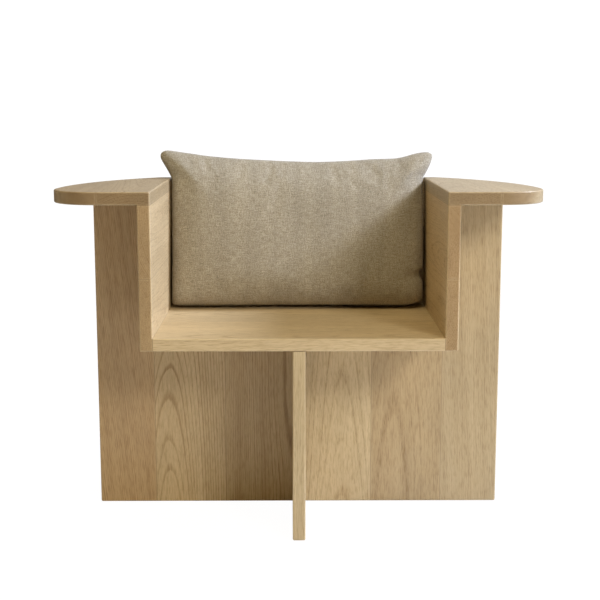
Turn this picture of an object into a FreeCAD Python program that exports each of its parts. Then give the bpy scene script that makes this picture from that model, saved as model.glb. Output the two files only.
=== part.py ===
import FreeCAD, Part
import math
import os
import Sketcher
from FreeCAD import Placement, Rotation, Vector

# Lounge armchair of solid oak boards with a loose lumbar cushion.
# Frame: +X to the right as seen from the front, +Y to the rear, +Z up.
# The origin is on the floor, midway between the front and rear faces and on the centre line.
# A plus-shaped base (a cross panel and a fin, lapped over each other) carries an open box of
# seat, sides and back. The cross panel's two wings rise outside the box to carry the wide arms.

doc = FreeCAD.newDocument("Armchair")

# ---------------------------------------------------------------- driving dimensions, millimetres
SIZES = {
    "board_thickness": 25,
    "edge_radius": 3,
    "seat_width": 560,
    "seat_top": 405,
    "arm_top": 685,
    "box_depth": 435,
    "cross_setback": 237,
    "wing_width": 120,
    "cross_board_joint": 155,
    "lap_board_width": 145,
    "side_board_height": 140,
    "arm_board_joint": 76,
    "arm_centre_setback": 70,
    "arm_corner_radius": 92,
    "dowel_radius": 4,
    "dowel_gap": 0.1,
    "dowel_end_gap": 1,
    "dowel_in_face": 15,
    "dowel_in_edge": 25,
    "cushion_width": 557,
    "cushion_ear_width": 596,
    "cushion_height": 324,
    "cushion_ear_rise": 18,
    "cushion_ear_radius": 14,
    "cushion_corner_radius": 30,
    "cushion_front_depth": 56,
    "cushion_back_depth": 62,
    "cushion_off_rear": 83,
    "cushion_lean": 9,
    "cushion_clearance": 0.5,
    "cover_thickness": 2,
}

sheet = doc.addObject("Spreadsheet::Sheet", "Sizes")
for row, (alias, value) in enumerate(SIZES.items(), 1):
    sheet.set(f"A{row}", alias)
    sheet.set(f"B{row}", str(value))
    sheet.setAlias(f"B{row}", alias)
doc.recompute()


def size(alias):
    """The sheet's value, for the few shapes that are built in code."""
    return float(getattr(sheet, alias))


# ------------------------------------------------- places on the chair, as expressions of the sheet
THICK = "Sizes.board_thickness"
INNER = "Sizes.seat_width / 2"
OUTER = f"({INNER} + {THICK})"
WING_END = f"({OUTER} + Sizes.wing_width)"
ARM_JOINT = f"({OUTER} + Sizes.arm_board_joint)"
FRONT = "(-Sizes.box_depth / 2)"
REAR = "(Sizes.box_depth / 2)"
SEAT_TOP = "Sizes.seat_top"
SEAT_BOTTOM = f"(Sizes.seat_top - {THICK})"
SEAT_MIDDLE = f"(Sizes.seat_top - {THICK} / 2)"
ARM_BOTTOM = f"(Sizes.arm_top - {THICK})"
SIDE_JOINT = f"({SEAT_BOTTOM} + Sizes.side_board_height)"
BACK_TOP = "(Sizes.arm_top - Sizes.edge_radius)"
BACK_FRONT = f"({REAR} - {THICK})"
BACK_MIDDLE = f"({REAR} - {THICK} / 2)"
CROSS_FRONT = f"({FRONT} + Sizes.cross_setback)"
CROSS_REAR = f"({CROSS_FRONT} + {THICK})"
CROSS_MIDDLE = f"({CROSS_FRONT} + {THICK} / 2)"
LAP_FRONT = f"({CROSS_MIDDLE} - Sizes.lap_board_width / 2)"
LAP_REAR = f"({CROSS_MIDDLE} + Sizes.lap_board_width / 2)"
HALF_LAP = f"({SEAT_BOTTOM} / 2)"
HOLE_RADIUS = "(Sizes.dowel_radius + Sizes.dowel_gap)"

# The seat and the fin are cut from boards of the same widths, the middle one over the crossing.
DEPTH_JOINTS = (FRONT, LAP_FRONT, LAP_REAR, REAR)

TOLERANCE = 1e-4
parts = []


def part_way(low, high, share):
    """The point a share of the way from low to high."""
    return f"({low} + ({high} - ({low})) * {share})"


def mirrored(sign, expression):
    """The same place on the chair's right (1) or left (-1) half."""
    return f"({sign} * {expression})"


# ------------------------------------------------------------------------------- sketch helpers
def new_body(label, x, y, z):
    body = doc.addObject("PartDesign::Body", label)
    body.Label = label
    for axis, expression in zip("xyz", (x, y, z)):
        body.setExpression(f".Placement.Base.{axis}", expression)
    parts.append(body)
    return body


def sketch_on(body, name, role, offset=None):
    """A sketch on one of the body's own origin planes, lifted along the plane's normal."""
    sketch = body.newObject("Sketcher::SketchObject", name)
    plane = next(item for item in body.Origin.OriginFeatures if item.Role == role)
    sketch.AttachmentSupport = [(plane, "")]
    sketch.MapMode = "FlatFace"
    if offset:
        sketch.setExpression(".AttachmentOffset.Base.z", offset)
    return sketch


def bind(sketch, kind, where, expression, start=10.0):
    """Add a dimension and tie it to the sheet."""
    index = sketch.addConstraint(Sketcher.Constraint(kind, *where, start))
    sketch.renameConstraint(index, f"size{index}")
    sketch.setExpression(f"Constraints.size{index}", expression)


def fix_point(sketch, point, x, y):
    """Place a sketch point; None means on that axis."""
    if x is None:
        sketch.addConstraint(Sketcher.Constraint("PointOnObject", *point, -2))
    else:
        bind(sketch, "DistanceX", (-1, 1, *point), x)
    if y is None:
        sketch.addConstraint(Sketcher.Constraint("PointOnObject", *point, -1))
    else:
        bind(sketch, "DistanceY", (-1, 1, *point), y)


def rectangle(sketch, width, height, left=None, bottom=None):
    """Four lines, first drawn anywhere in the quadrant and then tied to the sheet."""
    corners = [Vector(2, 2), Vector(12, 2), Vector(12, 12), Vector(2, 12)]
    for index in range(4):
        sketch.addGeometry(Part.LineSegment(corners[index], corners[(index + 1) % 4]), False)
    for index in range(4):
        sketch.addConstraint(Sketcher.Constraint("Coincident", index, 2, (index + 1) % 4, 1))
    for kind, index in (("Horizontal", 0), ("Vertical", 1), ("Horizontal", 2), ("Vertical", 3)):
        sketch.addConstraint(Sketcher.Constraint(kind, index))
    bind(sketch, "DistanceX", (0, 1, 0, 2), width)
    bind(sketch, "DistanceY", (1, 1, 1, 2), height)
    fix_point(sketch, (0, 1), left, bottom)


def pad(body, sketch, length):
    feature = body.newObject("PartDesign::Pad", "Thickness")
    feature.Profile = sketch
    feature.setExpression("Length", length)
    doc.recompute()
    return feature


def pocket(body, sketch, length, forward):
    """Cut along the sketch's normal (forward) or against it, and check that it cut."""
    before = body.Tip.Shape.Volume
    feature = body.newObject("PartDesign::Pocket", "Cut")
    feature.Profile = sketch
    feature.setExpression("Length", length)
    feature.Reversed = forward
    doc.recompute()
    if not before - feature.Shape.Volume > TOLERANCE:
        raise RuntimeError(f"{body.Label}: {sketch.Label} cuts nothing")
    return feature


def round_edges(body, chosen):
    """Ease the tip's edges that chosen(edge) picks, to the chair's edge radius."""
    base = body.Tip
    names = [f"Edge{number}" for number, edge in enumerate(base.Shape.Edges, 1) if chosen(edge)]
    feature = body.newObject("PartDesign::Fillet", "Eased")
    feature.Base = (base, names)
    feature.setExpression("Radius", "Sizes.edge_radius")
    doc.recompute()


def between_faces(shape, pairs):
    """A test for a box's edges, each named by the two faces that meet there."""
    box = shape.BoundBox
    faces = {
        "x-": (0, box.XMin), "x+": (0, box.XMax),
        "y-": (1, box.YMin), "y+": (1, box.YMax),
        "z-": (2, box.ZMin), "z+": (2, box.ZMax),
    }

    def lies_on(edge, name):
        axis, level = faces[name]
        return abs(edge.CenterOfMass[axis] - level) < TOLERANCE

    return lambda edge: any(all(lies_on(edge, name) for name in pair) for pair in pairs)


def stopped_round(body, role, start, length, corner, inward):
    """Ease one straight edge over part of its length: a quarter-round cut along the normal."""
    sketch = sketch_on(body, "StoppedRound", role, start)
    u_in, v_in = inward
    radius = size("edge_radius")
    tip = Vector(0, 0)
    along = Vector(u_in * radius, 0)
    across = Vector(0, v_in * radius)
    circle = Part.Circle(along + across, Vector(0, 0, 1), radius)
    to_along = math.atan2(-v_in, 0)
    to_across = math.atan2(0, -u_in)
    along_is_start = (to_across - to_along) % (2 * math.pi) < math.pi
    first, last = (to_along, to_across) if along_is_start else (to_across, to_along)
    sketch.addGeometry(Part.LineSegment(tip, along), False)
    sketch.addGeometry(Part.LineSegment(tip, across), False)
    sketch.addGeometry(Part.ArcOfCircle(circle, first, last), False)
    start_end = 1 if along_is_start else 2
    sketch.addConstraint(Sketcher.Constraint("Coincident", 0, 1, 1, 1))
    sketch.addConstraint(Sketcher.Constraint("Coincident", 0, 2, 2, start_end))
    sketch.addConstraint(Sketcher.Constraint("Coincident", 1, 2, 2, 3 - start_end))
    sketch.addConstraint(Sketcher.Constraint("Horizontal", 0))
    sketch.addConstraint(Sketcher.Constraint("Vertical", 1))
    sketch.addConstraint(Sketcher.Constraint("Vertical", 0, 2, 2, 3))
    sketch.addConstraint(Sketcher.Constraint("Horizontal", 1, 2, 2, 3))
    bind(sketch, "Radius", (2,), "Sizes.edge_radius", radius)
    fix_point(sketch, (0, 1), *corner)
    pocket(body, sketch, length, True)


# --------------------------------------------------------------------------------- dowel joints
class DowelJoint:
    """A row of dowels across a joint plane. Each goes a short way into the face of one board and
    further into the edge of the other, which lies on the side that sense gives (1 or -1)."""

    def __init__(self, label, axis, plane, sense):
        self.label = label
        self.axis = axis
        self.plane = plane
        self.sense = sense
        self.centres = []

    def add(self, first, second):
        """Add a dowel by its two places across the axis; the result is what a board's hole needs."""
        self.centres.append((first, second))
        return self, first, second

    def build(self):
        dowels = []
        for number, (first, second) in enumerate(self.centres, 1):
            dowel = doc.addObject("Part::Cylinder", f"{self.label}_{number}")
            dowel.setExpression("Radius", "Sizes.dowel_radius")
            dowel.setExpression("Height", "Sizes.dowel_in_face + Sizes.dowel_in_edge")
            depth_below = "Sizes.dowel_in_face" if self.sense > 0 else "Sizes.dowel_in_edge"
            foot = f"{self.plane} - {depth_below}"
            if self.axis == "x":
                dowel.Placement = Placement(Vector(), Rotation(Vector(0, 1, 0), 90))
                places = {"x": foot, "y": first, "z": second}
            else:
                places = {"x": first, "y": second, "z": foot}
            for axis, expression in places.items():
                dowel.setExpression(f".Placement.Base.{axis}", expression)
            dowels.append(dowel)
        group = doc.addObject("Part::Compound", self.label)
        group.Label = self.label
        group.Links = dowels
        parts.append(group)


def drill(body, dowels, low, face, depth_name):
    """Drill the holes for some of a joint's dowels into one face of a board."""
    x0, y0, z0 = low
    joint = dowels[0][0]
    toward_plus = face.endswith("-")
    if joint.axis == "x":
        sketch = sketch_on(body, "DowelHoles", "YZ_Plane", f"{joint.plane} - ({x0})")
        origins = (y0, z0)
    else:
        sketch = sketch_on(body, "DowelHoles", "XY_Plane", f"{joint.plane} - ({z0})")
        origins = (x0, y0)
    radius = size("dowel_radius")
    for number, (_, first, second) in enumerate(dowels):
        drawn_at = Vector((4 * number + 2) * radius, 2 * radius)
        sketch.addGeometry(Part.Circle(drawn_at, Vector(0, 0, 1), radius), False)
        bind(sketch, "Radius", (number,), HOLE_RADIUS, radius)
        bind(sketch, "DistanceX", (-1, 1, number, 3), f"{first} - ({origins[0]})")
        bind(sketch, "DistanceY", (-1, 1, number, 3), f"{second} - ({origins[1]})")
    pocket(body, sketch, f"Sizes.{depth_name} + Sizes.dowel_end_gap", toward_plus)


IN_FACE = "dowel_in_face"
IN_EDGE = "dowel_in_edge"


# --------------------------------------------------------------------------------------- boards
def board(label, low, high, rounded=(), holes=()):
    """A rectangular board between two corners, with eased edges and dowel holes.
    holes holds (dowels, face, depth name) for each face that is drilled."""
    body = new_body(label, *low)
    lengths = [f"{top} - ({bottom})" for bottom, top in zip(low, high)]
    outline = sketch_on(body, "Outline", "XY_Plane")
    rectangle(outline, lengths[0], lengths[1])
    blank = pad(body, outline, lengths[2])
    if rounded:
        round_edges(body, between_faces(blank.Shape, rounded))
    for dowels, face, depth_name in holes:
        drill(body, dowels, low, face, depth_name)
    return body


joints = {}
for half, sign in (("left", -1), ("right", 1)):
    inner, outer = mirrored(sign, INNER), mirrored(sign, OUTER)
    joints["seat", half] = DowelJoint(f"dowels_seat_{half}", "x", inner, -sign)
    joints["back", half] = DowelJoint(f"dowels_back_{half}", "x", inner, -sign)
    joints["wing", half] = DowelJoint(f"dowels_wing_{half}", "x", outer, sign)
    joints["arm", half] = DowelJoint(f"dowels_arm_{half}", "z", ARM_BOTTOM, -1)
joints["back_seat"] = DowelJoint("dowels_back_seat", "z", SEAT_TOP, 1)
joints["base"] = DowelJoint("dowels_base", "z", SEAT_BOTTOM, -1)

# The dowels that two boards share, from the first board's function to the second's.
wing_dowels = {}
seat_dowels = {"left": [], "right": []}
back_dowels = {"left": {}, "right": {}}
side_arm_dowels = {}
back_seat_dowels = []

# Where dowels stand, as shares of a board's length.
PAIR = (0.25, 0.75)
ALONG_ARM = (0.15, 0.4, 0.85)
ALONG_BACK = (-0.4, -0.2, 0, 0.2, 0.4)


def build_base():
    """The fin and the cross panel, half-lapped over each other, with the grain upright."""
    base = joints["base"]
    half_thick = f"({THICK} / 2)"
    seat_holes = {0: [], 1: [], 2: []}

    # Fin: three boards, front to rear, flush with the seat's front and rear faces.
    names = ("fin_board_front", "fin_board_lap", "fin_board_rear")
    dowel_places = (
        part_way(DEPTH_JOINTS[0], DEPTH_JOINTS[1], 0.5),
        part_way(LAP_FRONT, CROSS_FRONT, 0.5),
        part_way(DEPTH_JOINTS[2], DEPTH_JOINTS[3], 0.5),
    )
    for index, name in enumerate(names):
        low = (f"(-{half_thick})", DEPTH_JOINTS[index], "0")
        high = (half_thick, DEPTH_JOINTS[index + 1], SEAT_BOTTOM)
        rounded = [("x-", "z-"), ("x+", "z-")]
        if index == 0:
            rounded += [("x-", "y-"), ("x+", "y-"), ("y-", "z-")]
        if index == 2:
            rounded += [("x-", "y+"), ("x+", "y+"), ("y+", "z-")]
        dowel = base.add("0", dowel_places[index])
        seat_holes[index].append(dowel)
        body = board(name, low, high, rounded, [([dowel], "z+", IN_EDGE)])
        if index == 1:
            slot = sketch_on(body, "HalfLap", "XY_Plane", SEAT_BOTTOM)
            rectangle(slot, THICK, THICK, None, f"{CROSS_FRONT} - ({LAP_FRONT})")
            pocket(body, slot, HALF_LAP, False)

    # Cross panel below the seat: two boards each side of the fin.
    for half, sign in (("left", -1), ("right", 1)):
        for place, near, far in (
            ("inner", "0", "Sizes.cross_board_joint"),
            ("outer", "Sizes.cross_board_joint", OUTER),
        ):
            ends = (near, far) if sign > 0 else (far, near)
            low = (mirrored(sign, ends[0]), CROSS_FRONT, "0")
            high = (mirrored(sign, ends[1]), CROSS_REAR, SEAT_BOTTOM)
            clear_from = half_thick if place == "inner" else near
            clear_to = far if place == "inner" else INNER
            x = mirrored(sign, part_way(clear_from, clear_to, 0.5))
            dowel = base.add(x, CROSS_MIDDLE)
            seat_holes[1].append(dowel)
            rounded = [("y-", "z-"), ("y+", "z-")]
            body = board(f"cross_board_{half}_{place}", low, high, rounded, [([dowel], "z+", IN_EDGE)])
            if place == "inner":
                notch = sketch_on(body, "HalfLap", "XY_Plane")
                left = None if sign > 0 else f"Sizes.cross_board_joint - {half_thick}"
                rectangle(notch, half_thick, THICK, left, None)
                pocket(body, notch, HALF_LAP, True)
    return seat_holes


def build_wings():
    """The cross panel's outer boards, which rise outside the box to the arms."""
    for half, sign in (("left", -1), ("right", 1)):
        ends = (OUTER, WING_END) if sign > 0 else (WING_END, OUTER)
        low = (mirrored(sign, ends[0]), CROSS_FRONT, "0")
        high = (mirrored(sign, ends[1]), CROSS_REAR, ARM_BOTTOM)
        tip = "x+" if sign > 0 else "x-"
        root = "x-" if sign > 0 else "x+"
        rounded = [(tip, "y-"), (tip, "y+"), (tip, "z-"), ("y-", "z-"), ("y+", "z-")]
        arm_dowels = [
            joints["arm", half].add(mirrored(sign, part_way(OUTER, ARM_JOINT, 0.5)), CROSS_MIDDLE),
            joints["arm", half].add(mirrored(sign, part_way(ARM_JOINT, WING_END, 0.5)), CROSS_MIDDLE),
        ]
        side_dowels = [
            joints["wing", half].add(CROSS_MIDDLE, part_way(SEAT_BOTTOM, SIDE_JOINT, 0.5)),
            joints["wing", half].add(CROSS_MIDDLE, part_way(SIDE_JOINT, ARM_BOTTOM, 0.5)),
        ]
        holes = [(arm_dowels, "z+", IN_EDGE), (side_dowels, root, IN_EDGE)]
        board(f"cross_wing_{half}", low, high, rounded, holes)
        wing_dowels[half] = {"arm": arm_dowels, "side": side_dowels}


def build_seat(base_dowels):
    """Three boards across the chair, between the sides."""
    names = ("seat_board_front", "seat_board_middle", "seat_board_rear")
    for index, name in enumerate(names):
        front, rear = DEPTH_JOINTS[index], DEPTH_JOINTS[index + 1]
        low = (mirrored(-1, INNER), front, SEAT_BOTTOM)
        high = (INNER, rear, SEAT_TOP)
        rounded = []
        if index == 0:
            rounded = [("y-", "z+"), ("y-", "z-")]
        if index == 2:
            rounded = [("y+", "z-")]
        holes = [(base_dowels[index], "z-", IN_FACE)]
        for half, face in (("left", "x-"), ("right", "x+")):
            dowels = [
                joints["seat", half].add(part_way(front, rear, share), SEAT_MIDDLE)
                for share in PAIR
            ]
            seat_dowels[half] += dowels
            holes.append((dowels, face, IN_EDGE))
        if index == 2:
            dowels = [
                joints["back_seat"].add(f"(Sizes.seat_width * {share})", BACK_MIDDLE)
                for share in ALONG_BACK
            ]
            back_seat_dowels.extend(dowels)
            holes.append((dowels, "z+", IN_FACE))
        board(name, low, high, rounded, holes)


def build_back():
    """Two boards across the chair, standing on the seat's rear edge between the sides."""
    for name, bottom, top, dowel_top in (
        ("back_board_lower", SEAT_TOP, SIDE_JOINT, SIDE_JOINT),
        ("back_board_upper", SIDE_JOINT, BACK_TOP, ARM_BOTTOM),
    ):
        upper = name.endswith("upper")
        low = (mirrored(-1, INNER), BACK_FRONT, bottom)
        high = (INNER, REAR, top)
        holes = []
        for half, face in (("left", "x-"), ("right", "x+")):
            dowels = [
                joints["back", half].add(BACK_MIDDLE, part_way(bottom, dowel_top, share))
                for share in PAIR
            ]
            back_dowels[half][upper] = dowels
            holes.append((dowels, face, IN_EDGE))
        rounded = [("y-", "z+"), ("y+", "z+")] if upper else []
        if not upper:
            holes.append((back_seat_dowels, "z-", IN_EDGE))
        board(name, low, high, rounded, holes)


def build_sides():
    """Two boards each side, front to rear, one above the other."""
    for half, sign in (("left", -1), ("right", 1)):
        inside = "x-" if sign > 0 else "x+"
        outside = "x+" if sign > 0 else "x-"
        ends = (INNER, OUTER) if sign > 0 else (OUTER, INNER)
        x_low, x_high = mirrored(sign, ends[0]), mirrored(sign, ends[1])
        corner_x = None if sign > 0 else THICK

        rounded = [(outside, "y-"), (outside, "y+"), (outside, "z-"), ("y-", "z-"), ("y+", "z-")]
        holes = [
            (seat_dowels[half], inside, IN_FACE),
            (back_dowels[half][False], inside, IN_FACE),
            (wing_dowels[half]["side"][:1], outside, IN_FACE),
        ]
        lower = board(f"side_board_{half}_lower", (x_low, FRONT, SEAT_BOTTOM),
                      (x_high, REAR, SIDE_JOINT), rounded, holes)
        # The inside front edge is eased only above the seat, which meets it flush.
        stopped_round(lower, "XY_Plane", THICK, f"{SIDE_JOINT} - {SEAT_TOP}", (corner_x, None), (sign, 1))

        middle = mirrored(sign, part_way(INNER, OUTER, 0.5))
        arm_dowels = [
            joints["arm", half].add(middle, part_way(FRONT, REAR, share))
            for share in ALONG_ARM
        ]
        side_arm_dowels[half] = arm_dowels
        rounded = [(outside, "y-"), (outside, "y+"), (inside, "y-")]
        holes = [
            (back_dowels[half][True], inside, IN_FACE),
            (wing_dowels[half]["side"][1:], outside, IN_FACE),
            (arm_dowels, "z+", IN_EDGE),
        ]
        board(f"side_board_{half}_upper", (x_low, FRONT, SIDE_JOINT),
              (x_high, REAR, ARM_BOTTOM), rounded, holes)


def arm_outline(sketch, sign):
    """The arm in plan, with its corner at the front plane: straight inner, front and rear edges,
    a round front corner, and an arc about the chair's centre line out to the box's rear corner."""
    inner, thick = size("seat_width") / 2, size("board_thickness")
    depth, setback = size("box_depth"), size("arm_centre_setback")
    corner = size("arm_corner_radius")
    radius = math.hypot(inner + thick, depth - setback)
    corner_x = math.sqrt((radius - corner) ** 2 - (setback - corner) ** 2)
    reach = Vector(corner_x, corner - setback).normalize() * radius

    def at(x, y):
        return Vector(sign * x, y)

    rear_corner = at(inner + thick, depth)
    meet = at(reach.x, setback + reach.y)
    corner_centre = at(corner_x, corner)
    within_corner = math.atan2(reach.x, -reach.y) / 2
    corner_mid = corner_centre + at(math.sin(within_corner), -math.cos(within_corner)) * corner
    arc_mid_angle = (math.atan2(reach.y, reach.x) + math.atan2(depth - setback, inner + thick)) / 2
    arc_mid = at(radius * math.cos(arc_mid_angle), setback + radius * math.sin(arc_mid_angle))

    sketch.addGeometry(Part.LineSegment(at(inner, depth), at(inner, 0)), False)
    sketch.addGeometry(Part.LineSegment(at(inner, 0), at(corner_x, 0)), False)
    sketch.addGeometry(Part.Arc(at(corner_x, 0), corner_mid, meet), False)
    sketch.addGeometry(Part.Arc(meet, arc_mid, rear_corner), False)
    sketch.addGeometry(Part.LineSegment(rear_corner, at(inner, depth)), False)

    # An arc always runs anticlockwise, so the mirrored arm's arcs start at their other ends.
    first, last = (1, 2) if sign > 0 else (2, 1)
    sketch.addConstraint(Sketcher.Constraint("Coincident", 0, 2, 1, 1))
    sketch.addConstraint(Sketcher.Constraint("Tangent", 1, 2, 2, first))
    sketch.addConstraint(Sketcher.Constraint("Tangent", 2, last, 3, first))
    sketch.addConstraint(Sketcher.Constraint("Coincident", 3, last, 4, 1))
    sketch.addConstraint(Sketcher.Constraint("Coincident", 4, 2, 0, 1))
    sketch.addConstraint(Sketcher.Constraint("Vertical", 0))
    sketch.addConstraint(Sketcher.Constraint("Horizontal", 1))
    sketch.addConstraint(Sketcher.Constraint("Horizontal", 4))
    bind(sketch, "DistanceX", (-1, 1, 0, 2), mirrored(sign, INNER), sign * inner)
    sketch.addConstraint(Sketcher.Constraint("PointOnObject", 0, 2, -1))
    bind(sketch, "Radius", (2,), "Sizes.arm_corner_radius", corner)
    sketch.addConstraint(Sketcher.Constraint("PointOnObject", 3, 3, -2))
    bind(sketch, "DistanceY", (-1, 1, 3, 3), "Sizes.arm_centre_setback", setback)
    bind(sketch, "DistanceX", (-1, 1, 4, 1), mirrored(sign, OUTER), sign * (inner + thick))
    bind(sketch, "DistanceY", (-1, 1, 4, 1), "Sizes.box_depth", depth)


WASTE_MARGIN = 10


def build_arms():
    """Two boards each side, front to rear, lying on the side and the wing."""
    sideways = 2 * (size("seat_width") + size("box_depth"))
    for half, sign in (("left", -1), ("right", 1)):
        for place in ("inner", "outer"):
            low = ("0", FRONT, ARM_BOTTOM)
            body = new_body(f"arm_board_{half}_{place}", *low)
            outline = sketch_on(body, "Outline", "XY_Plane")
            arm_outline(outline, sign)
            pad(body, outline, THICK)

            # Cut away the other board's share of the outline.
            waste = sketch_on(body, "Waste", "XY_Plane")
            starts_at_joint = (place == "inner") == (sign > 0)
            joint_x = mirrored(sign, ARM_JOINT)
            left = joint_x if starts_at_joint else f"{joint_x} - {sideways}"
            depth_over = f"Sizes.box_depth + {2 * WASTE_MARGIN}"
            rectangle(waste, str(sideways), depth_over, left, str(-WASTE_MARGIN))
            pocket(body, waste, THICK, True)

            joint_level = sign * (size("seat_width") / 2 + size("board_thickness") + size("arm_board_joint"))
            inner_level = sign * size("seat_width") / 2
            top, depth = size("board_thickness"), size("box_depth")

            def eased(edge):
                middle = edge.CenterOfMass
                flat = edge.BoundBox.ZLength < TOLERANCE
                if abs(middle.x - joint_level) < TOLERANCE:
                    return False
                if not flat:
                    at_front = abs(middle.y) < TOLERANCE
                    return at_front and abs(middle.x - inner_level) < TOLERANCE
                if abs(middle.z - top) < TOLERANCE:
                    return True
                straight = isinstance(edge.Curve, Part.Line)
                return place == "outer" or (not straight and 0 < middle.y < depth)

            round_edges(body, eased)
            if place == "inner":
                start = mirrored(sign, OUTER if sign > 0 else ARM_JOINT)
                stopped_round(body, "YZ_Plane", start, "Sizes.arm_board_joint", (None, None), (1, 1))
                dowels = side_arm_dowels[half] + wing_dowels[half]["arm"][:1]
            else:
                dowels = wing_dowels[half]["arm"][1:]
            drill(body, dowels, low, "z-", IN_FACE)


# -------------------------------------------------------------------------------------- cushion
EAR_FOOT = 0.87  # where the ears begin, as a share of the cushion's height
# How far each section is drawn in, against its share of the half's depth: a crowned pad.
CROWN = ((0.0, 0.0), (0.3, 5.0), (0.62, 18.0), (0.85, 40.0), (1.0, 82.0))


def cushion_section(inset, y):
    """The cushion's outline in its own seam plane, drawn smaller by inset, at depth y.
    Straight sides, small lower corners and two ears that stand above a slightly hollow top."""
    half_width, ear_half_width = size("cushion_width") / 2, size("cushion_ear_width") / 2
    height, corner, ear = size("cushion_height"), size("cushion_corner_radius"), size("cushion_ear_radius")
    scale_x = (half_width - inset) / half_width
    scale_z = (height / 2 - inset) / (height / 2)
    ear_foot = EAR_FOOT * height

    def at(x, z):
        return Vector(x * scale_x, y, height / 2 + (z - height / 2) * scale_z)

    def arc(start, middle, end):
        return Part.Arc(at(*start), at(*middle), at(*end)).toShape()

    def line(start, end):
        return Part.LineSegment(at(*start), at(*end)).toShape()

    bend = 1 - math.sqrt(0.5)
    ear_top = height + size("cushion_ear_rise")
    edges = [
        line((-(half_width - corner), 0), (half_width - corner, 0)),
        arc((half_width - corner, 0), (half_width - bend * corner, bend * corner), (half_width, corner)),
        line((half_width, corner), (half_width, ear_foot)),
        line((half_width, ear_foot), (ear_half_width, ear_top - ear)),
        arc((ear_half_width, ear_top - ear), (ear_half_width - bend * ear, ear_top - bend * ear),
            (ear_half_width - ear, ear_top)),
        arc((ear_half_width - ear, ear_top), (0, height), (-(ear_half_width - ear), ear_top)),
        arc((-(ear_half_width - ear), ear_top), (-(ear_half_width - bend * ear), ear_top - bend * ear),
            (-ear_half_width, ear_top - ear)),
        line((-ear_half_width, ear_top - ear), (-half_width, ear_foot)),
        line((-half_width, ear_foot), (-half_width, corner)),
        arc((-half_width, corner), (-(half_width - bend * corner), bend * corner),
            (-(half_width - corner), 0)),
    ]
    return Part.Wire(edges)


def cushion_half(depth, shrink):
    """One half of the crowned pad, from the seam plane to depth (negative to the front)."""
    reach = depth - math.copysign(shrink, depth)
    wires = [cushion_section(inset + shrink, share * reach) for share, inset in CROWN]
    return Part.makeLoft(wires, True, True)


def build_cushion():
    """The cover's two panels, sewn edge to edge, and the filling inside them."""
    inner, depth = size("seat_width") / 2, size("box_depth")
    seat_top, back_top = size("seat_top"), size("arm_top") - size("edge_radius")
    gap, skin = size("cushion_clearance"), size("cover_thickness")
    back_front = depth / 2 - size("board_thickness")
    foot = Vector(0, depth / 2 - size("cushion_off_rear"), seat_top + gap)
    place = Placement(foot, Rotation(Vector(1, 0, 0), -size("cushion_lean")))
    big = 2 * (depth + size("arm_top"))

    def pressed_flat(shape, margin):
        """Flatten the pad where the seat, the sides and the back stop it."""
        limits = (
            (-big, -big, seat_top - big, 2 * big, 2 * big, big + gap + margin),
            (-big, back_front - gap - margin, 0, 2 * big, big, back_top + gap + margin),
            (-big, depth / 2 - gap - margin, 0, 2 * big, big, big),
            (inner - gap - margin, -big, 0, big, 2 * big, size("arm_top") + gap + margin),
            (-inner + gap + margin - big, -big, 0, big, 2 * big, size("arm_top") + gap + margin),
        )
        for x, y, z, length, width, height in limits:
            block = Part.makeBox(length, width, height, Vector(x, y, z))
            block.Placement = place.inverse().multiply(block.Placement)
            shape = shape.cut(block)
        return shape

    front = pressed_flat(cushion_half(-size("cushion_front_depth"), 0), 0)
    back = pressed_flat(cushion_half(size("cushion_back_depth"), 0), 0)
    filling = cushion_half(-size("cushion_front_depth"), skin).fuse(
        cushion_half(size("cushion_back_depth"), skin)).removeSplitter()
    filling = pressed_flat(filling, skin)
    for label, shape in (
        ("cushion_cover_front", front.cut(filling)),
        ("cushion_cover_back", back.cut(filling)),
        ("cushion_filling", filling),
    ):
        feature = doc.addObject("Part::Feature", label)
        feature.Label = label
        feature.Shape = shape.Solids[0]
        feature.Placement = place
        parts.append(feature)


build_seat(build_base())
build_wings()
build_back()
build_sides()
build_arms()
for dowel_joint in joints.values():
    dowel_joint.build()
build_cushion()
doc.recompute()

# --------------------------------------------------------------------------------- checks, export
for item in doc.Objects:
    if "Invalid" in item.State or "Error" in item.State:
        raise RuntimeError(f"{item.Label} failed: {item.State}")
for part in parts:
    if part.Shape.isNull() or not part.Shape.isValid():
        raise RuntimeError(f"{part.Label} has no valid shape")

os.makedirs("parts", exist_ok=True)
for part in parts:
    part.Shape.exportStep(f"parts/{part.Label}.step")
print(f"{len(parts)} sub-parts written")
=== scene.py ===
import math
import random

import bpy
import numpy as np
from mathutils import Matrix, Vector


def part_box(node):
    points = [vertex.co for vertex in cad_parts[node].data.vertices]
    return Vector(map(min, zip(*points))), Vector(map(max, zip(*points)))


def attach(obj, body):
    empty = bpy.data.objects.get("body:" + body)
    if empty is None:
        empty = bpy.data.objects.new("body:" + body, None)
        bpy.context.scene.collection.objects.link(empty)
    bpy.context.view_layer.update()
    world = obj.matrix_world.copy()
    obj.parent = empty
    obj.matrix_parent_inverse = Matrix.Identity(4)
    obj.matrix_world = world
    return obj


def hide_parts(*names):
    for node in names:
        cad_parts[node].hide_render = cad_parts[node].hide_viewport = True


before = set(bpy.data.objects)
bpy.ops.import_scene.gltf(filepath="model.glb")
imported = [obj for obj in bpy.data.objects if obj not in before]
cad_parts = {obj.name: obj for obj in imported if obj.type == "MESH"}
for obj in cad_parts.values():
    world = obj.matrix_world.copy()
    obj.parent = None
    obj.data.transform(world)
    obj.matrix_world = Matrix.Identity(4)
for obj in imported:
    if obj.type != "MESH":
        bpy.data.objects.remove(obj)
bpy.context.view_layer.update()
scene = bpy.context.scene
MM = 0.001


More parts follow.
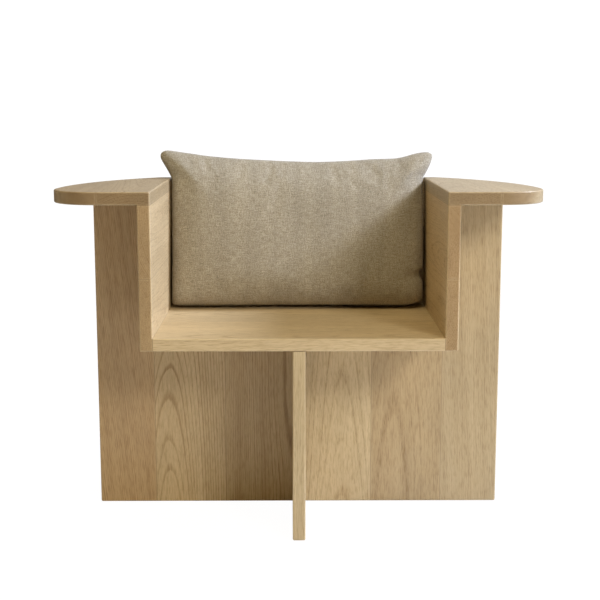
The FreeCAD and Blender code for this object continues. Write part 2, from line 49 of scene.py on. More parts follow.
# ------------------------------------------------------------------------------------ node helpers
class Graph:
    """Adds linked nodes to one node tree. An input is a number, a tuple or another node's output."""

    def __init__(self, tree):
        self.tree = tree

    def add(self, kind, inputs=None, output=0, **settings):
        node = self.tree.nodes.new(kind)
        for name, value in settings.items():
            setattr(node, name, value)
        for key, value in (inputs or {}).items():
            if isinstance(value, bpy.types.NodeSocket):
                self.tree.links.new(value, node.inputs[key])
            else:
                node.inputs[key].default_value = value
        return node.outputs[output]

    def math(self, operation, *values):
        return self.add("ShaderNodeMath", dict(enumerate(values)), operation=operation)

    def vector(self, operation, *values):
        output = "Value" if operation == "LENGTH" else "Vector"
        return self.add("ShaderNodeVectorMath", dict(enumerate(values)), output, operation=operation)

    def noise(self, place, stretch, detail=2.0, rough=0.5, output="Fac"):
        """Noise of the place after it is stretched by three factors, per metre."""
        at = self.vector("MULTIPLY", place, stretch)
        inputs = {"Vector": at, "Scale": 1.0, "Detail": detail, "Roughness": rough}
        return self.add("ShaderNodeTexNoise", inputs, output)

    def drift(self, place, stretch, reach, detail, rough):
        """An offset that changes with the place, by up to half the reach (metres) each way."""
        aside = self.noise(place, stretch, detail, rough, "Color")
        aside = self.vector("SUBTRACT", aside, (0.5, 0.5, 0.5))
        return self.vector("MULTIPLY", aside, reach)

    def noise_line(self, at, detail=1.0):
        inputs = {"W": at, "Scale": 1.0, "Detail": detail}
        return self.add("ShaderNodeTexNoise", inputs, noise_dimensions="1D")

    def ramp(self, value, low, high, to_low=0.0, to_high=1.0):
        inputs = {"Value": value, "From Min": low, "From Max": high, "To Min": to_low, "To Max": to_high}
        return self.add("ShaderNodeMapRange", inputs, interpolation_type="SMOOTHSTEP")

    def mix(self, factor, first, second, blend="MIX"):
        node = self.tree.nodes.new("ShaderNodeMix")
        node.data_type = "RGBA"
        node.blend_type = blend
        for key, value in ((0, factor), (6, first), (7, second)):
            if isinstance(value, bpy.types.NodeSocket):
                self.tree.links.new(value, node.inputs[key])
            else:
                node.inputs[key].default_value = value
        return node.outputs[2]

    def tint(self, colour, tone):
        return self.mix(1.0, colour, tone, "MULTIPLY")

    def shade(self, colour, light):
        """The colour made lighter or darker by one factor."""
        return self.tint(colour, self.add("ShaderNodeCombineXYZ", {0: light, 1: light, 2: light}))

    def split(self, vector):
        node = self.tree.nodes.new("ShaderNodeSeparateXYZ")
        self.tree.links.new(vector, node.inputs[0])
        return node.outputs


def new_group(name, inputs, outputs):
    """An empty node group and its input and output nodes."""
    tree = bpy.data.node_groups.new(name, "ShaderNodeTree")
    for label, kind in inputs:
        tree.interface.new_socket(label, in_out="INPUT", socket_type=f"NodeSocket{kind}")
    for label, kind in outputs:
        tree.interface.new_socket(label, in_out="OUTPUT", socket_type=f"NodeSocket{kind}")
    return tree, tree.nodes.new("NodeGroupInput").outputs, tree.nodes.new("NodeGroupOutput").inputs


def new_material(name, colour):
    """A material with an empty graph, its Principled shader and a plain colour for the viewport."""
    made = bpy.data.materials.new(name)
    made.use_nodes = True
    made.diffuse_color = (*colour, 1)
    tree = made.node_tree
    tree.nodes.clear()
    shader = tree.nodes.new("ShaderNodeBsdfPrincipled")
    output = tree.nodes.new("ShaderNodeOutputMaterial")
    tree.links.new(shader.outputs[0], output.inputs["Surface"])
    return made, Graph(tree), shader.inputs


# -------------------------------------------------------------------------------------------- wood
PALE = (0.605, 0.474, 0.284, 1)
DEEP = (0.36, 0.246, 0.122, 1)
PORE = (0.19, 0.112, 0.048, 1)
END_TONE = (0.70, 0.62, 0.52, 1)

# How fine each pattern is, twice across the grain and once along it, per metre.
WANDER = (3.5, 3.5, 1.3)
RIPPLE = (24.0, 24.0, 5.0)
FIBRE = (430.0, 430.0, 6.0)
STREAK = (95.0, 95.0, 1.5)
FLECK = (460.0, 460.0, 40.0)
PORES = (900.0, 900.0, 55.0)
MOTTLE = (9.0, 9.0, 3.0)
WANDER_REACH = (0.030, 0.030, 0.0)  # metres
RIPPLE_REACH = (0.0026, 0.0026, 0.0)

# The rings: how unevenly they grow, how fast that changes, the faintest ring, and where in a ring
# its early wood begins and ends, in shares of the ring.
UNEVEN = 0.9
UNEVEN_PER_RING = 0.35
BROAD_PER_RING = 0.16
FAINTEST = 0.35
EARLY_BEGINS = (0.0, 0.08)
EARLY_ENDS = (0.10, 0.36)

# How far each pattern takes the colour from pale to deep, and where that starts.
DEPTH_START = -0.42
DEPTH_OF_FIGURE = 0.62
DEPTH_OF_BROAD = 0.38
DEPTH_OF_FIBRE = 0.50
DEPTH_OF_STREAK = 0.50
DEPTH_OF_FLECK = 0.36
PORE_COVER = 0.55

# The glue line and the worn edge: from and to which distance off the edge (metres), and how strong.
GLUE_LINE = (0.0002, 0.0009)
GLUE_STRENGTH = 0.55
WORN_EDGE = (0.0008, 0.0045)
WORN_STRENGTH = 0.30
GRAIN_DEPTH = 0.0003  # metres


def wood_group():
    """Solid ring-porous wood. Place is in metres with the pith along z, and Seed sets the noise apart.
    Spot, Low and High are a place on the board and its box. End is 1 on end grain."""
    tree, given, made = new_group(
        "Wood",
        [("Place", "Vector"), ("Spot", "Vector"), ("Low", "Vector"), ("High", "Vector"), ("End", "Float"),
         ("Seed", "Float"), ("Ring", "Float"), ("Figure", "Float"), ("Tone", "Color")],
        [("Color", "Color"), ("Roughness", "Float"), ("Height", "Float")],
    )
    g = Graph(tree)
    place, seed, end = given["Place"], given["Seed"], given["End"]
    apart = {0: seed, 1: g.math("MULTIPLY", seed, 1.7), 2: g.math("MULTIPLY", seed, 2.3)}
    moved = g.vector("ADD", place, g.add("ShaderNodeCombineXYZ", apart))

    # The rings, with the slow wander and the small ripple of a real trunk.
    bent = g.vector("ADD", place, g.drift(moved, WANDER, WANDER_REACH, 1.0, 0.4))
    bent = g.vector("ADD", bent, g.drift(moved, RIPPLE, RIPPLE_REACH, 2.0, 0.5))
    across, through, _ = g.split(bent)
    from_pith = g.vector("LENGTH", g.add("ShaderNodeCombineXYZ", {0: across, 1: through}))
    count = g.math("DIVIDE", from_pith, given["Ring"])
    growth = g.noise_line(g.math("MULTIPLY_ADD", count, UNEVEN_PER_RING, seed))
    count = g.math("MULTIPLY_ADD", growth, UNEVEN, count)
    whole = g.math("ADD", g.math("FLOOR", count), seed)
    strength = g.add("ShaderNodeTexWhiteNoise", {"W": whole}, noise_dimensions="1D")
    strength = g.ramp(strength, 0.0, 1.0, FAINTEST, 1.0)
    phase = g.math("FRACT", count)
    rise = g.ramp(phase, *EARLY_BEGINS)
    fall = g.ramp(phase, *EARLY_ENDS, 1.0, 0.0)
    early = g.math("MULTIPLY", g.math("MULTIPLY", rise, fall), strength)
    broad_seed = g.math("MULTIPLY", seed, 3.1)
    broad = g.noise_line(g.math("MULTIPLY_ADD", count, BROAD_PER_RING, broad_seed), 2.0)

    # The fibres along the grain, the pores and the slow mottle.
    fibre = g.noise(moved, FIBRE, 3.0, 0.6)
    streak = g.noise(moved, STREAK, 3.0, 0.6)
    fleck = g.ramp(g.noise(moved, FLECK, 2.0, 0.6), 0.46, 0.66)
    pore = g.ramp(g.noise(moved, PORES, 1.0), 0.56, 0.68)
    pore = g.math("MULTIPLY", pore, g.math("MULTIPLY_ADD", early, 0.8, 0.2))
    mottle = g.noise(moved, MOTTLE, 2.0)

    # End grain shows its rings twice as strongly and is darker.
    figure = g.math("MULTIPLY", early, given["Figure"])
    figure = g.math("MULTIPLY", figure, g.math("ADD", end, 1.0))
    depth = g.math("MULTIPLY_ADD", figure, DEPTH_OF_FIGURE, DEPTH_START)
    depth = g.math("MULTIPLY_ADD", broad, DEPTH_OF_BROAD, depth)
    depth = g.math("MULTIPLY_ADD", fibre, DEPTH_OF_FIBRE, depth)
    depth = g.math("MULTIPLY_ADD", streak, DEPTH_OF_STREAK, depth)
    depth = g.math("MULTIPLY_ADD", fleck, DEPTH_OF_FLECK, depth)
    colour = g.mix(g.add("ShaderNodeClamp", {"Value": depth}), PALE, DEEP)
    colour = g.mix(g.math("MULTIPLY", pore, PORE_COVER), colour, PORE)
    colour = g.shade(colour, g.ramp(mottle, 0.25, 0.75, 0.93, 1.07))
    colour = g.tint(colour, given["Tone"])
    colour = g.mix(end, colour, g.tint(colour, END_TONE))

    # How far the spot is from the board's nearest edge: a glue line where boards meet flush, and wear.
    above_low = g.vector("SUBTRACT", given["Spot"], given["Low"])
    below_high = g.vector("SUBTRACT", given["High"], given["Spot"])
    x, y, z = g.split(g.vector("MINIMUM", above_low, below_high))
    middle = g.math("MAXIMUM", g.math("MINIMUM", x, y), g.math("MINIMUM", g.math("MAXIMUM", x, y), z))
    line = g.ramp(middle, *GLUE_LINE, GLUE_STRENGTH, 0.0)
    worn = g.math("MULTIPLY", g.ramp(middle, *WORN_EDGE, WORN_STRENGTH, 0.0), g.ramp(streak, 0.3, 0.6))
    colour = g.mix(worn, colour, PALE)
    colour = g.mix(line, colour, PORE)

    shine = g.math("MULTIPLY_ADD", fibre, 0.16, 0.33)
    shine = g.math("MULTIPLY_ADD", end, 0.12, shine)
    shine = g.math("MULTIPLY_ADD", pore, 0.25, shine)
    height = g.math("MULTIPLY", fibre, 0.5)
    height = g.math("MULTIPLY_ADD", early, -0.35, height)
    height = g.math("MULTIPLY_ADD", pore, -0.75, height)
    for output, value in (("Color", colour), ("Roughness", shine), ("Height", height)):
        tree.links.new(value, made[output])
    return tree


WOOD = wood_group()
AXES = {"x": Vector((1, 0, 0)), "y": Vector((0, 1, 0)), "z": Vector((0, 0, 1))}

# Each board: grain axis, the pith's place off the board's centre (mm, across the grain, in the order
# of the remaining axes), the pith's tilt, ring width (mm), strength of figure and tone.
BOARDS = {
    "cross_wing_left": ("z", (-190, 60), (-0.09, 0.0), 3.4, 1.0, (1.0, 0.91, 0.85)),
    "cross_board_left_outer": ("z", (-44, 60), (0.0, 0.060), 4.4, 1.4, (1.10, 1.09, 1.07)),
    # The next board's tone is darkened a little, as painted shade beside the fin.
    "cross_board_left_inner": ("z", (66, 88), (0.004, 0.006), 3.0, 1.35, (0.96, 0.93, 0.89)),
    "cross_board_right_inner": ("z", (14, 82), (0.0, 0.052), 5.0, 0.5, (1.10, 1.12, 1.10)),
    "cross_board_right_outer": ("z", (-30, 130), (-0.01, 0.036), 4.6, 0.45, (0.92, 0.89, 0.83)),
    "cross_wing_right": ("z", (170, 80), (-0.05, 0.0), 3.4, 0.5, (0.93, 0.935, 0.92)),
    "fin_board_front": ("z", (60, -160), (0.004, 0.004), 3.0, 0.5, (1.05, 1.07, 1.07)),
    "fin_board_lap": ("z", (90, 30), (0.004, 0.020), 3.2, 0.8, (1.0, 1.0, 1.0)),
    "fin_board_rear": ("z", (80, -40), (0.006, -0.020), 3.0, 0.8, (0.98, 0.98, 0.97)),
    "seat_board_front": ("x", (-60, -110), (0.006, 0.022), 3.0, 0.5, (1.17, 1.18, 1.18)),
    "seat_board_middle": ("x", (20, 120), (0.0, -0.024), 3.4, 0.6, (1.17, 1.20, 1.25)),
    "seat_board_rear": ("x", (-30, -120), (0.004, 0.02), 3.0, 0.6, (1.12, 1.14, 1.2)),
    "side_board_left_lower": ("y", (120, -30), (0.02, 0.006), 3.0, 0.4, (1.10, 1.11, 1.13)),
    "side_board_left_upper": ("y", (140, 30), (-0.02, 0.004), 3.4, 0.4, (1.12, 1.13, 1.16)),
    "side_board_right_lower": ("y", (-130, 20), (0.02, 0.004), 3.2, 0.5, (1.04, 1.02, 1.0)),
    "side_board_right_upper": ("y", (-120, -40), (-0.022, 0.006), 3.0, 0.5, (1.05, 1.02, 1.0)),
    "arm_board_left_inner": ("y", (20, -120), (0.004, 0.03), 3.2, 0.5, (0.79, 0.79, 0.80)),
    "arm_board_left_outer": ("y", (-60, -100), (0.01, 0.026), 3.0, 0.5, (0.78, 0.77, 0.78)),
    "arm_board_right_inner": ("y", (-20, -130), (0.0, -0.028), 3.4, 0.4, (0.76, 0.77, 0.79)),
    "arm_board_right_outer": ("y", (50, -110), (-0.01, 0.03), 3.0, 0.4, (0.78, 0.79, 0.81)),
    "back_board_lower": ("x", (110, 20), (0.022, 0.0), 3.2, 0.6, (1.0, 0.99, 0.98)),
    "back_board_upper": ("x", (-120, -20), (-0.024, 0.004), 3.0, 0.6, (1.03, 1.02, 1.01)),
}

# The rows of dowels that lie across the chair. The others stand upright.
LYING_ROWS = (
    "dowels_back_left", "dowels_back_right",
    "dowels_seat_left", "dowels_seat_right",
    "dowels_wing_left", "dowels_wing_right",
)
DOWEL_WOOD = ((30, 20), (0.0, 0.0), 2.0, 0.5, (1.08, 1.06, 1.05))  # as in BOARDS, after the axis


def wood_material(name, axis, pith, tilt, ring, figure, tone, seed):
    """One board's wood. The solid pattern follows the grain axis from a pith of its own."""
    low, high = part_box(name)
    others = [other for other in "xyz" if other != axis]
    heart = (low + high) / 2
    along = AXES[axis].copy()
    for other, offset, lean in zip(others, pith, tilt):
        heart += AXES[other] * offset * MM
        along += AXES[other] * lean
    turn = along.normalized().rotation_difference(AXES["z"]).to_matrix()
    made, g, shader = new_material(f"wood_{name}", PALE[:3])
    source = made.node_tree.nodes.new("ShaderNodeTexCoord").outputs
    place = g.add("ShaderNodeMapping", {
        "Vector": source["Object"],
        "Location": -(turn @ heart),
        "Rotation": turn.to_euler(),
    })
    facing = g.split(source["Normal"])["xyz".index(axis)]
    end = g.ramp(g.math("ABSOLUTE", facing), 0.55, 0.95)
    group = made.node_tree.nodes.new("ShaderNodeGroup")
    group.node_tree = WOOD
    link = made.node_tree.links.new
    link(place, group.inputs["Place"])
    link(source["Object"], group.inputs["Spot"])
    link(end, group.inputs["End"])
    group.inputs["Low"].default_value = low
    group.inputs["High"].default_value = high
    group.inputs["Seed"].default_value = seed
    group.inputs["Ring"].default_value = ring * MM
    group.inputs["Figure"].default_value = figure
    group.inputs["Tone"].default_value = (*tone, 1)
    link(group.outputs["Color"], shader["Base Color"])
    link(group.outputs["Roughness"], shader["Roughness"])
    relief = {"Height": group.outputs["Height"], "Strength": 0.5, "Distance": GRAIN_DEPTH}
    link(g.add("ShaderNodeBump", relief), shader["Normal"])
    shader["Specular IOR Level"].default_value = 0.45
    return made


draw = random.Random(7)
for name, node in sorted(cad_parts.items()):
    if name.startswith("cushion"):
        continue
    seed = draw.uniform(0, 40)
    if name.startswith("dowels"):
        spec = ("x" if name in LYING_ROWS else "z", *DOWEL_WOOD)
    else:
        spec = BOARDS[name]
    node.data.materials.clear()
    node.data.materials.append(wood_material(name, *spec, seed))
    node.data.polygons.foreach_set("material_index", [0] * len(node.data.polygons))


# ------------------------------------------------------------------------------------------ cushion
FOOT = Vector((0, 0.1345, 0.4055))
LEAN = math.radians(9)
UP = Vector((0, math.sin(LEAN), math.cos(LEAN)))
FORWARD = Vector((0, -math.cos(LEAN), math.sin(LEAN)))
ACROSS, UPWARD = 128, 76  # faces in each panel
HALF_WIDTH, HALF_HEIGHT = 278, 165  # mm, of the seam

# The seam's outline in its own leaning plane: mm to the right and mm up.
BOTTOM = [
    (-276, 5), (-268, 2), (-240, 1), (-120, 0.8), (0, 0.8), (120, 0.8), (215, 1), (240, 2.5), (258, 7),
    (271, 14),
]
TOP = [
    (-301, 340), (-293, 345), (-284, 346), (-268, 344), (-231, 339), (-194, 334), (-135, 329), (-76, 326),
    (-17, 323.5), (49, 322), (118, 324.5), (156, 327), (190, 328), (216, 329), (236, 333), (254, 338),
    (270, 341), (285, 342), (295, 338),
]
LEFT = [
    (-276, 5), (-278.6, 16), (-279, 60), (-279, 125), (-279, 235), (-279, 277), (-284, 292), (-294, 310),
    (-302, 324), (-304, 333), (-301, 340),
]
RIGHT = [
    (271, 14), (275.5, 24), (276, 54), (272, 64), (268.5, 73), (271, 82), (276.5, 92), (277.5, 130),
    (277.5, 200), (277, 277), (283, 293), (291, 309), (296.5, 324), (298, 332), (295, 338),
]

# How far the panels stand off the seam plane, and how far in from the seam they rise (mm).
FRONT_CROWN, BACK_CROWN = 45, -50
RISE_AT_SIDES, RISE_AT_TOP, RISE_AT_BOTTOM = 44, 56, 30
DOME_SHARE = 0.26
SETTLED = 0.20  # how much fuller at the bottom, and flatter at the top
UNEVEN_FILLING = 0.3  # mm

SWELL_LIMIT = 15 * MM
SPARE_CLOTH = 0.007
GAP = 0.4 * MM
PRESSED_EASE = 4 * MM
SIDE_EASE = 2.5 * MM
SEAM_PULL = 1.6 * MM


def smooth_line(points, shares):
    """A Catmull-Rom curve through the points, read at shares of its length."""
    p = np.array([points[0], *points, points[-1]], float)
    t = np.linspace(0, 1, 24, endpoint=False)[:, None]
    spans = []
    for a, b, c, d in zip(p, p[1:], p[2:], p[3:]):
        square = (2 * a - 5 * b + 4 * c - d) * t**2
        cube = (3 * b - a - 3 * c + d) * t**3
        spans.append(0.5 * (2 * b + (c - a) * t + square + cube))
    dense = np.vstack([*spans, p[-1:]])
    run = np.concatenate([[0], np.cumsum(np.linalg.norm(np.diff(dense, axis=0), axis=1))])
    return np.stack([np.interp(shares * run[-1], run, dense[:, axis]) for axis in (0, 1)], 1)


def panel_grid():
    """The seam plane's places (mm) for a grid of columns and rows, filled in between the four edges."""
    s, t = np.linspace(0, 1, ACROSS + 1), np.linspace(0, 1, UPWARD + 1)
    bottom, top = smooth_line(BOTTOM, s), smooth_line(TOP, s)
    left, right = smooth_line(LEFT, t), smooth_line(RIGHT, t)
    s, t = s[:, None, None], t[None, :, None]
    edges = (1 - t) * bottom[:, None] + t * top[:, None] + (1 - s) * left[None] + s * right[None]
    corners = (1 - s) * (1 - t) * bottom[0] + s * (1 - t) * bottom[-1]
    corners = corners + (1 - s) * t * top[0] + s * t * top[-1]
    return edges - corners


def rise(share, half_length, reach):
    """A quarter circle up from each end of -1 to 1, as a share of its full height."""
    near = np.clip((1 - np.abs(share)) * half_length / reach, 0, 1)
    return np.sqrt(1 - (1 - near) ** 2)


def crown(depth):
    """How far a panel stands off the seam plane: a quick rise from the seam, then one broad low dome
    that is fullest low down, where the filling has settled."""
    s = np.linspace(-1, 1, ACROSS + 1)[:, None]
    t = np.linspace(-1, 1, UPWARD + 1)[None, :]
    reach = np.where(t > 0, RISE_AT_TOP, RISE_AT_BOTTOM)
    shell = rise(s, HALF_WIDTH, RISE_AT_SIDES) * rise(t, HALF_HEIGHT, reach)
    dome = (1 - np.abs(s) ** 2.6) * (1 - np.abs(t) ** 3.2)
    return depth * ((1 - DOME_SHARE) * shell + DOME_SHARE * dome) * (1 - SETTLED * t)


def on_seam(i, j):
    return i in (0, ACROSS) or j in (0, UPWARD)


def cushion_mesh():
    """Both panels on one seam. Returns the object and each vertex's number by side, column and row."""
    grid = panel_grid()
    shake = np.random.default_rng(3)
    index = {}
    points = []
    for side, offset in (("front", crown(FRONT_CROWN)), ("back", crown(BACK_CROWN))):
        for i in range(ACROSS + 1):
            for j in range(UPWARD + 1):
                if on_seam(i, j) and side == "back":
                    index[side, i, j] = index["front", i, j]
                    continue
                x, h = grid[i, j]
                off = 0
                if not on_seam(i, j):
                    off = offset[i, j] + shake.uniform(-UNEVEN_FILLING, UNEVEN_FILLING)
                index[side, i, j] = len(points)
                points.append(FOOT + Vector((x * MM, 0, 0)) + UP * h * MM + FORWARD * off * MM)
    faces = []
    for side in ("front", "back"):
        for i in range(ACROSS):
            for j in range(UPWARD):
                corners = [(i, j), (i + 1, j), (i + 1, j + 1), (i, j + 1)]
                loop = [index[side, a, b] for a, b in corners]
                faces.append(loop if side == "front" else loop[::-1])
    mesh = bpy.data.meshes.new("cushion")
    mesh.from_pydata([tuple(p) for p in points], [], faces)
    piece = bpy.data.objects.new("cushion", mesh)
    scene.collection.objects.link(piece)
    return piece, index


def coordinates(mesh):
    flat = np.zeros(len(mesh.vertices) * 3, np.float32)
    mesh.vertices.foreach_get("co", flat)
    return flat.reshape(-1, 3).astype(float)


def set_coordinates(mesh, points):
    mesh.vertices.foreach_set("co", points.astype(np.float32).ravel())
    mesh.update()


def fill(piece, seam, frames=22):
    """Blows the sewn panels up as cloth on a held seam, with a little spare fabric that puckers."""
    group = piece.vertex_groups.new(name="Seam")
    group.add(seam, 1.0, "REPLACE")
    cloth = piece.modifiers.new("Cloth", "CLOTH")
    s = cloth.settings
    s.quality = 7
    s.mass = 0.25
    s.tension_stiffness = s.compression_stiffness = 18
    s.shear_stiffness = 8
    s.bending_stiffness = 4.0
    s.air_damping = 4
    s.vertex_group_mass = "Seam"
    s.use_pressure = True
    s.uniform_pressure_force = 2.0
    s.shrink_min = s.shrink_max = -SPARE_CLOTH
    s.effector_weights.gravity = 0
    cloth.point_cache.frame_start = 1
    cloth.point_cache.frame_end = frames
    for number in range(1, frames + 1):
        scene.frame_set(number)
    settled = piece.evaluated_get(bpy.context.evaluated_depsgraph_get())
    points = coordinates(settled.data)
    piece.modifiers.remove(cloth)
    piece.vertex_groups.remove(group)
    scene.frame_set(1)
    return points


def soft_limit(value, limit, ease):
    """value kept below limit, easing into it."""
    over = np.clip((value - limit + ease) / ease, 0, None)
    pressed = limit - ease + ease * np.where(over < 2, over - over**2 / 4, 1.0)
    return np.where(over > 0, pressed, value)


def swell(piece, start, seam):
    """The panels' places once filled, none further than the limit from where it started."""
    moved = fill(piece, seam) - start
    far = np.linalg.norm(moved, axis=1, keepdims=True)
    return start + moved * (SWELL_LIMIT * np.tanh(far / SWELL_LIMIT) / np.maximum(far, 1e-9))


def rest_on_chair(points):
    """Keeps the cushion on the seat, between the sides and against the back panel, with a small gap."""
    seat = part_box("seat_board_rear")[1].z + GAP
    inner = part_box("side_board_right_upper")[0].x - GAP
    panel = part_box("back_board_upper")[0].y - GAP
    panel_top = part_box("back_board_upper")[1].z + GAP
    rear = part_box("back_board_upper")[1].y - GAP
    arm_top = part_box("arm_board_right_inner")[1].z + GAP
    x, y, z = points.T
    points[:, 2] = -soft_limit(-z, -seat, PRESSED_EASE)
    before_panel = soft_limit(y, panel, PRESSED_EASE)
    points[:, 1] = np.where(z < panel_top, before_panel, soft_limit(y, rear, PRESSED_EASE))
    between_sides = np.sign(x) * soft_limit(np.abs(x), inner, SIDE_EASE)
    points[:, 0] = np.where(z < arm_top, between_sides, x)


def run_along(grid, axis):
    """How far each place of a grid lies along one way of it, from the middle (metres)."""
    steps = np.linalg.norm(np.diff(grid, axis=axis), axis=2)
    run = np.insert(np.cumsum(steps, axis), 0, 0, axis)
    middle = (run.shape[axis] - 1) // 2
    return run - run.take([middle], axis)


def lay_weave(mesh, points, index):
    """Writes the panels' own thread directions, measured over the filled cloth in metres."""
    lengths = {}
    for side, apart in (("front", 0), ("back", 0.5)):
        grid = np.array([[points[index[side, i, j]] for j in range(UPWARD + 1)] for i in range(ACROSS + 1)])
        lengths[side] = (run_along(grid, 0), run_along(grid, 1) + apart)
    layer = mesh.uv_layers.new(name="Weave")
    per_side = ACROSS * UPWARD
    for number, face in enumerate(mesh.polygons):
        side = "front" if number < per_side else "back"
        u, v = lengths[side]
        i, j = divmod(number % per_side, UPWARD)
        corners = [(i, j), (i + 1, j), (i + 1, j + 1), (i, j + 1)]
        if side == "back":
            corners = corners[::-1]
        for loop, (a, b) in zip(face.loop_indices, corners):
            layer.data[loop].uv = (u[a, b], v[a, b])


def pull_seam(mesh, seam):
    """Draws the seam in a little between its two panels."""
    centre = FOOT + UP * HALF_HEIGHT * MM
    for number in seam:
        place = mesh.vertices[number].co
        toward = centre - place
        toward.y = 0
        place += toward.normalized() * SEAM_PULL


def make_cushion():
    piece, index = cushion_mesh()
    mesh = piece.data
    points = coordinates(mesh)
    seam = sorted({number for (side, i, j), number in index.items() if on_seam(i, j)})
    points = swell(piece, points, seam)
    rest_on_chair(points)
    set_coordinates(mesh, points)
    lay_weave(mesh, points, index)
    pull_seam(mesh, seam)
    finer = piece.modifiers.new("Finer", "SUBSURF")
    finer.levels = finer.render_levels = 1
    bpy.context.view_layer.objects.active = piece
    piece.select_set(True)
    bpy.ops.object.modifier_apply(modifier="Finer")
    mesh.polygons.foreach_set("use_smooth", [True] * len(mesh.polygons))
    return piece


# -------------------------------------------------------------------------------------------- linen
FLAX = (0.365, 0.324, 0.250, 1)
FLAX_DARK = (0.195, 0.162, 0.112, 1)
FLAX_PALE = (0.545, 0.500, 0.415, 1)
THREAD = 0.00105  # metres from one thread to the next
WEAVE_DEPTH = 0.0006  # metres

# How fine each pattern is along the weft, along the warp and off the cloth, per metre.
WARP_SLUB = (520.0, 70.0, 1.0)
WEFT_SLUB = (60.0, 500.0, 1.0)
BANDS = (34.0, 1.6, 1.0)
FADED = (7.0, 6.0, 1.0)
FUZZ = (480.0, 480.0, 1.0)
DRIFT = (9.0, 9.0, 9.0)
DRIFT_REACH = (0.004, 0.004, 0.0)  # metres


def linen_material():
    """Coarse plain weave with uneven, slubbed threads, drawn along the panels' own thread directions."""
    made, g, shader = new_material("linen", FLAX[:3])
    tree = made.node_tree
    place = g.add("ShaderNodeUVMap", uv_map="Weave")
    place = g.vector("ADD", place, g.drift(place, DRIFT, DRIFT_REACH, 2.0, 0.5))
    u, v, _ = g.split(place)
    warp = g.math("SINE", g.math("MULTIPLY", u, math.pi / THREAD))
    weft = g.math("SINE", g.math("MULTIPLY", v, math.pi / THREAD))
    over = g.ramp(g.math("MULTIPLY", warp, weft), -0.25, 0.25)
    warp_slub = g.noise(place, WARP_SLUB, 2.0, 0.65)
    weft_slub = g.noise(g.vector("ADD", place, (5.0, 3.0, 0.0)), WEFT_SLUB, 2.0, 0.65)
    slub = g.add("ShaderNodeMix", {0: over, 2: weft_slub, 3: warp_slub}, data_type="FLOAT")
    ridges = {0: over, 2: g.math("ABSOLUTE", weft), 3: g.math("ABSOLUTE", warp)}
    ridge = g.add("ShaderNodeMix", ridges, data_type="FLOAT")
    threads = g.math("MULTIPLY", g.math("POWER", ridge, 0.6), g.math("MULTIPLY_ADD", slub, 0.8, 0.5))
    coarse = g.math("MULTIPLY_ADD", warp_slub, 0.5, g.math("MULTIPLY", weft_slub, 0.5))
    bands = g.noise(g.vector("ADD", place, (2.0, 7.0, 0.0)), BANDS, 2.0)
    faded = g.noise(place, FADED, 2.0)
    fuzz = g.noise(place, FUZZ, 3.0, 0.75)

    colour = g.mix(g.ramp(coarse, 0.33, 0.67), FLAX_DARK, FLAX_PALE)
    colour = g.mix(0.5, FLAX, colour)
    # Painted shade: the hollows between the threads are darkened toward FLAX_DARK.
    thread_gap_shade = g.ramp(ridge, 0.0, 0.45, 0.5, 0.0)
    colour = g.mix(thread_gap_shade, colour, FLAX_DARK)
    for pattern, least, most in ((bands, 0.93, 1.08), (faded, 0.95, 1.05), (fuzz, 0.58, 1.46)):
        colour = g.shade(colour, g.ramp(pattern, 0.25, 0.75, least, most))
    tree.links.new(colour, shader["Base Color"])
    tree.links.new(g.math("MULTIPLY_ADD", fuzz, 0.12, 0.82), shader["Roughness"])
    raised = g.math("MULTIPLY_ADD", coarse, 0.9, threads)
    raised = g.math("MULTIPLY_ADD", fuzz, 0.25, raised)
    relief = {"Height": raised, "Strength": 0.55, "Distance": WEAVE_DEPTH}
    tree.links.new(g.add("ShaderNodeBump", relief), shader["Normal"])
    shader["Sheen Weight"].default_value = 0.25
    shader["Sheen Roughness"].default_value = 0.5
    shader["Specular IOR Level"].default_value = 0.2
    return made


cushion = make_cushion()
cushion.data.materials.append(linen_material())
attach(cushion, "cushion")
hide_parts("cushion_cover_front", "cushion_cover_back", "cushion_filling")


# ---------------------------------------------------------------------------- floor, light, camera
FLOOR_PAINT = (0.92, 0.92, 0.92, 1)
FLOOR_REACH = 30.0
FLOOR_LEVEL = -0.0006
FLOOR_GLOW = 1.05
WHITENS = (0.2, 1.1)  # from and to which distance off the chair's middle (metres)
WHITE_AT_CHAIR = 0.93


def make_floor():
    """A plain pale floor that whitens with distance into the backdrop. It lights the chair as plain
    white paint."""
    mesh = bpy.data.meshes.new("floor")
    turns = ((-1, -1), (1, -1), (1, 1), (-1, 1))
    corners = [(FLOOR_REACH * x, FLOOR_REACH * y, FLOOR_LEVEL) for x, y in turns]
    mesh.from_pydata(corners, [], [(0, 1, 2, 3)])
    made, g, shader = new_material("floor_white", FLOOR_PAINT[:3])
    shader["Base Color"].default_value = FLOOR_PAINT
    shader["Roughness"].default_value = 0.9
    shader["Specular IOR Level"].default_value = 0.1
    tree = made.node_tree
    output = next(node for node in tree.nodes if node.type == "OUTPUT_MATERIAL")
    paint = output.inputs["Surface"].links[0].from_socket
    away = g.vector("LENGTH", tree.nodes.new("ShaderNodeTexCoord").outputs["Object"])
    whiten = g.ramp(away, *WHITENS, WHITE_AT_CHAIR, 1.0)
    seen = tree.nodes.new("ShaderNodeLightPath").outputs["Is Camera Ray"]
    glow = {"Color": (1, 1, 1, 1), "Strength": FLOOR_GLOW}
    glow = g.add("ShaderNodeEmission", glow, output="Emission")
    blend = g.add("ShaderNodeMixShader", {0: g.math("MULTIPLY", seen, whiten), 1: paint, 2: glow})
    tree.links.new(blend, output.inputs["Surface"])
    mesh.materials.append(made)
    floor = bpy.data.objects.new("floor", mesh)
    scene.collection.objects.link(floor)


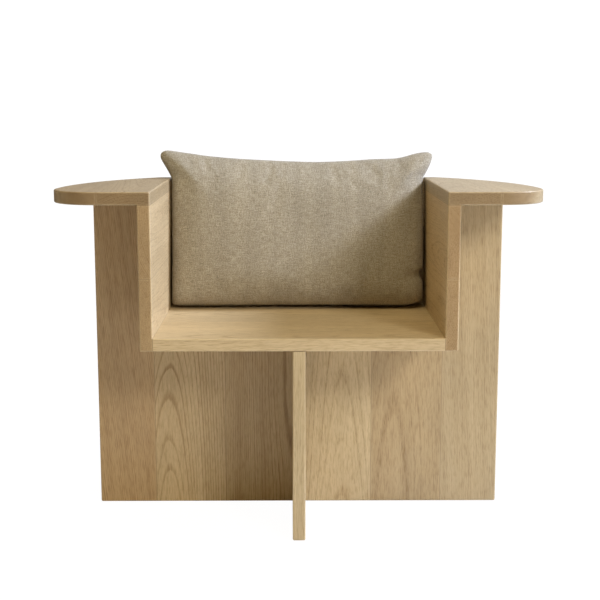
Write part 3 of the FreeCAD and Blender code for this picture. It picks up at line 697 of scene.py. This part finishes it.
# Studio lights: name, azimuth to the right of the view (degrees), elevation, distance, size (m), watts
# and colour.
LIGHTS = [
    ("side", 91, 36, 3.6, 0.9, 134, (0.94, 1.05, 1.32)),
    ("key", 33, 26, 3.6, 0.85, 46, (1.02, 0.98, 0.90)),
    ("top", 0, 66, 3.0, 2.0, 28, (1.12, 0.97, 0.62)),
    ("fill", -75, 40, 3.6, 3.2, 21, (1.17, 0.93, 0.52)),
    ("low", 0, 5, 3.6, 1.5, 6, (1.12, 0.94, 0.60)),
    ("rear", 180, 40, 3.6, 2.6, 9, (1.05, 0.98, 0.85)),
]
AIM = Vector((0, 0, 0.42))


def make_lights():
    for name, azimuth, elevation, distance, size, watts, colour in LIGHTS:
        data = bpy.data.lights.new(name, "AREA")
        data.shape = "DISK"
        data.size = size
        data.energy = watts
        data.color = colour
        lamp = bpy.data.objects.new(name, data)
        a, e = math.radians(azimuth), math.radians(elevation)
        toward = Vector((math.sin(a) * math.cos(e), -math.cos(a) * math.cos(e), math.sin(e)))
        lamp.location = AIM + toward * distance
        lamp.rotation_mode = "QUATERNION"
        lamp.rotation_quaternion = toward.to_track_quat("Z", "Y")
        scene.collection.objects.link(lamp)


BACKDROP = 1.3
REFLECTED = (0.25, 0.7)  # at the left and at the right


def make_world():
    """A white backdrop. The camera sees it, and so do reflections of what is behind the chair. The lamps
    do the lighting."""
    world = bpy.data.worlds.new("surround")
    world.use_nodes = True
    scene.world = world
    tree = world.node_tree
    tree.nodes.clear()
    rays = tree.nodes.new("ShaderNodeLightPath").outputs
    g = Graph(tree)
    rightward, rearward, upward = g.split(tree.nodes.new("ShaderNodeTexCoord").outputs["Generated"])
    behind = g.ramp(g.math("MULTIPLY_ADD", upward, 0.5, rearward), -0.2, 0.5)
    level = g.ramp(rightward, -0.25, 0.25, *REFLECTED)
    reflected = g.math("MULTIPLY", g.math("MULTIPLY", rays["Is Glossy Ray"], level), behind)
    strength = g.math("MULTIPLY_ADD", rays["Is Camera Ray"], BACKDROP, reflected)
    shown = g.add("ShaderNodeBackground", {"Color": (1, 1, 1, 1), "Strength": strength})
    output = tree.nodes.new("ShaderNodeOutputWorld")
    tree.links.new(shown, output.inputs["Surface"])


LENS, SENSOR = 71.83, 36  # mm
CAMERA_PLACE = (-0.0154, -2.4604, 0.8568)
CAMERA_DIP = 0.1664  # radians below level
CAMERA_TURN = 0.0076  # radians to the right


def make_camera():
    data = bpy.data.cameras.new("view")
    data.sensor_width = SENSOR
    data.lens = LENS
    data.clip_start = 0.05
    data.clip_end = 200
    camera = bpy.data.objects.new("view", data)
    camera.location = CAMERA_PLACE
    camera.rotation_euler = (math.pi / 2 - CAMERA_DIP, 0, -CAMERA_TURN)
    scene.collection.objects.link(camera)
    scene.camera = camera


make_floor()
make_lights()
make_world()
make_camera()
scene.view_settings.view_transform = "Standard"
scene.view_settings.look = "None"
